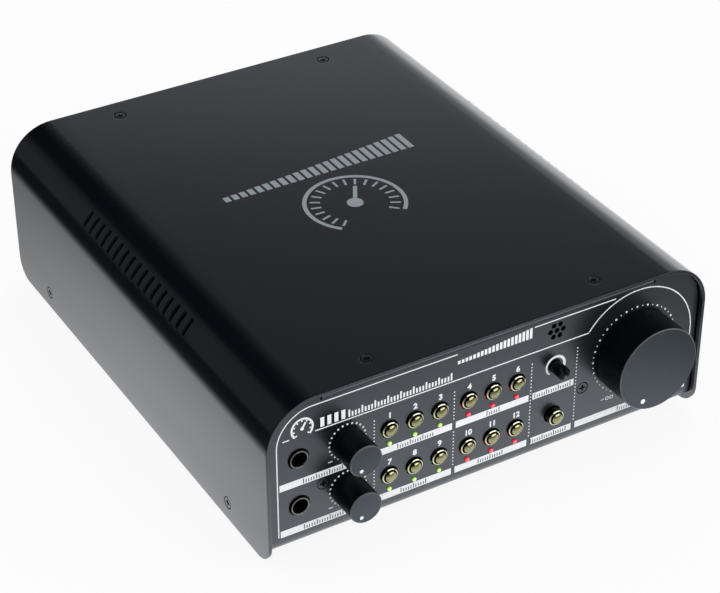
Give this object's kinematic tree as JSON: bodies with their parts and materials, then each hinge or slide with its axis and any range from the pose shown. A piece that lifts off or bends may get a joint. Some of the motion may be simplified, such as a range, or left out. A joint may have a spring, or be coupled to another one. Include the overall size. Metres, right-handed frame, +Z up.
{
  "type": "studio monitor controller",
  "caption": "Desktop studio monitor controller: folded steel case with a vented wrap-round cover, a large volume knob, level knobs, push buttons with lamps, and a wall of three-pin sockets.",
  "frame": {"origin": "middle of the footprint, on the surface that the feet stand on", "axes": "+Z up; -Y is the front with the controls; +X is to the right for someone facing the front"},
  "size_m": [0.215, 0.2714, 0.0818],
  "materials": {
    "cover_paint": "satin black powder coat",
    "panel_paint": "fine textured dark grey paint",
    "screw_black": "blackened steel",
    "knob": "matte soft-touch dark grey",
    "button": "polished pale gold plating",
    "black_plastic": "matte black moulding",
    "rubber": "matte",
    "board": "green solder resist",
    "nickel": "satin nickel plate",
    "core": "yellow tape over copper windings and a steel core",
    "steel": "zinc plated"
  },
  "bodies": {
    "case": {"cover": "cover_paint", "chassis": "panel_paint", "cover_screw_front_left": "screw_black", "cover_screw_front_right": "screw_black", "cover_screw_rear_left": "screw_black", "cover_screw_rear_right": "screw_black", "side_screw_front_left": "screw_black", "side_screw_front_right": "screw_black", "side_screw_rear_left": "screw_black", "side_screw_rear_right": "screw_black", "panel_screw_left": "screw_black", "panel_screw_right": "screw_black", "foot_front_left": "rubber", "foot_front_right": "rubber", "foot_rear_left": "rubber", "foot_rear_right": "rubber", "volume_control": "steel", "headphone_1_control": "steel", "headphone_2_control": "steel", "headphone_1_jack": "black_plastic", "headphone_2_jack": "black_plastic", "mains_inlet": "black_plastic", "microphone_capsule": "nickel", "front_board": "board", "main_board": "board", "transformer": "core", "transformer_bolt": "steel", "output_a_left_connector": "nickel", "output_a_right_connector": "nickel", "output_b_left_connector": "nickel", "output_b_right_connector": "nickel", "output_c_left_connector": "nickel", "output_c_right_connector": "nickel", "aux_jack": "nickel", "footswitch_jack": "nickel", "input_1_left_connector": "black_plastic", "input_1_right_connector": "black_plastic", "input_2_left_connector": "black_plastic", "input_2_right_connector": "black_plastic"},
    "volume_knob": {"volume_knob": "knob", "volume_shaft": "steel"},
    "headphone_1_knob": {"headphone_1_knob": "knob", "headphone_1_shaft": "steel"},
    "headphone_2_knob": {"headphone_2_knob": "knob", "headphone_2_shaft": "steel"},
    "talkback_level": {"talkback_level_shaft": "black_plastic"},
    "power_rocker": {"power_rocker": "black_plastic"},
    "button_speaker_a": {"button_speaker_a": "button"},
    "button_speaker_b": {"button_speaker_b": "button"},
    "button_speaker_c": {"button_speaker_c": "button"},
    "button_cut_left": {"button_cut_left": "button"},
    "button_mute": {"button_mute": "button"},
    "button_cut_right": {"button_cut_right": "button"},
    "button_input_1": {"button_input_1": "button"},
    "button_input_2": {"button_input_2": "button"},
    "button_input_aux": {"button_input_aux": "button"},
    "button_phase_reverse": {"button_phase_reverse": "button"},
    "button_mono": {"button_mono": "button"},
    "button_dim": {"button_dim": "button"},
    "button_talkback": {"button_talkback": "button"}
  },
  "joints": [
    {"name": "volume_knob_turn", "type": "hinge", "parent": "case", "child": "volume_knob", "pos_m": [0.0724, -0.1177, 0.0458], "axis": [0, 1, 0], "range_deg": [0, 300]},
    {"name": "headphone_1_knob_turn", "type": "hinge", "parent": "case", "child": "headphone_1_knob", "pos_m": [-0.0696, -0.1177, 0.0518], "axis": [0, 1, 0], "range_deg": [0, 300]},
    {"name": "headphone_2_knob_turn", "type": "hinge", "parent": "case", "child": "headphone_2_knob", "pos_m": [-0.0696, -0.1177, 0.0281], "axis": [0, 1, 0], "range_deg": [0, 300]},
    {"name": "talkback_level_turn", "type": "hinge", "parent": "case", "child": "talkback_level", "pos_m": [0.03125, -0.1177, 0.0518], "axis": [0, 1, 0], "range_deg": [0, 300]},
    {"name": "power_rocker_turn", "type": "hinge", "parent": "case", "child": "power_rocker", "pos_m": [0.05954, 0.1307, 0.03153], "axis": [1, 0, 0], "range_deg": [0, 16]},
    {"name": "button_speaker_a_press", "type": "slide", "parent": "case", "child": "button_speaker_a", "axis": [0, 1, 0], "range_m": [-0.0023, 0.0007]},
    {"name": "button_speaker_b_press", "type": "slide", "parent": "case", "child": "button_speaker_b", "axis": [0, 1, 0], "range_m": [-0.0023, 0.0007]},
    {"name": "button_speaker_c_press", "type": "slide", "parent": "case", "child": "button_speaker_c", "axis": [0, 1, 0], "range_m": [-0.0023, 0.0007]},
    {"name": "button_cut_left_press", "type": "slide", "parent": "case", "child": "button_cut_left", "axis": [0, 1, 0], "range_m": [-0.0023, 0.0007]},
    {"name": "button_mute_press", "type": "slide", "parent": "case", "child": "button_mute", "axis": [0, 1, 0], "range_m": [-0.0023, 0.0007]},
    {"name": "button_cut_right_press", "type": "slide", "parent": "case", "child": "button_cut_right", "axis": [0, 1, 0], "range_m": [-0.0023, 0.0007]},
    {"name": "button_input_1_press", "type": "slide", "parent": "case", "child": "button_input_1", "axis": [0, 1, 0], "range_m": [-0.0023, 0.0007]},
    {"name": "button_input_2_press", "type": "slide", "parent": "case", "child": "button_input_2", "axis": [0, 1, 0], "range_m": [-0.0023, 0.0007]},
    {"name": "button_input_aux_press", "type": "slide", "parent": "case", "child": "button_input_aux", "axis": [0, 1, 0], "range_m": [-0.0023, 0.0007]},
    {"name": "button_phase_reverse_press", "type": "slide", "parent": "case", "child": "button_phase_reverse", "axis": [0, 1, 0], "range_m": [-0.0023, 0.0007]},
    {"name": "button_mono_press", "type": "slide", "parent": "case", "child": "button_mono", "axis": [0, 1, 0], "range_m": [-0.0023, 0.0007]},
    {"name": "button_dim_press", "type": "slide", "parent": "case", "child": "button_dim", "axis": [0, 1, 0], "range_m": [-0.0023, 0.0007]},
    {"name": "button_talkback_press", "type": "slide", "parent": "case", "child": "button_talkback", "axis": [0, 1, 0], "range_m": [0, 0.003], "stiffness_N_per_m": 300, "springref_m": -0.002}
  ]
}
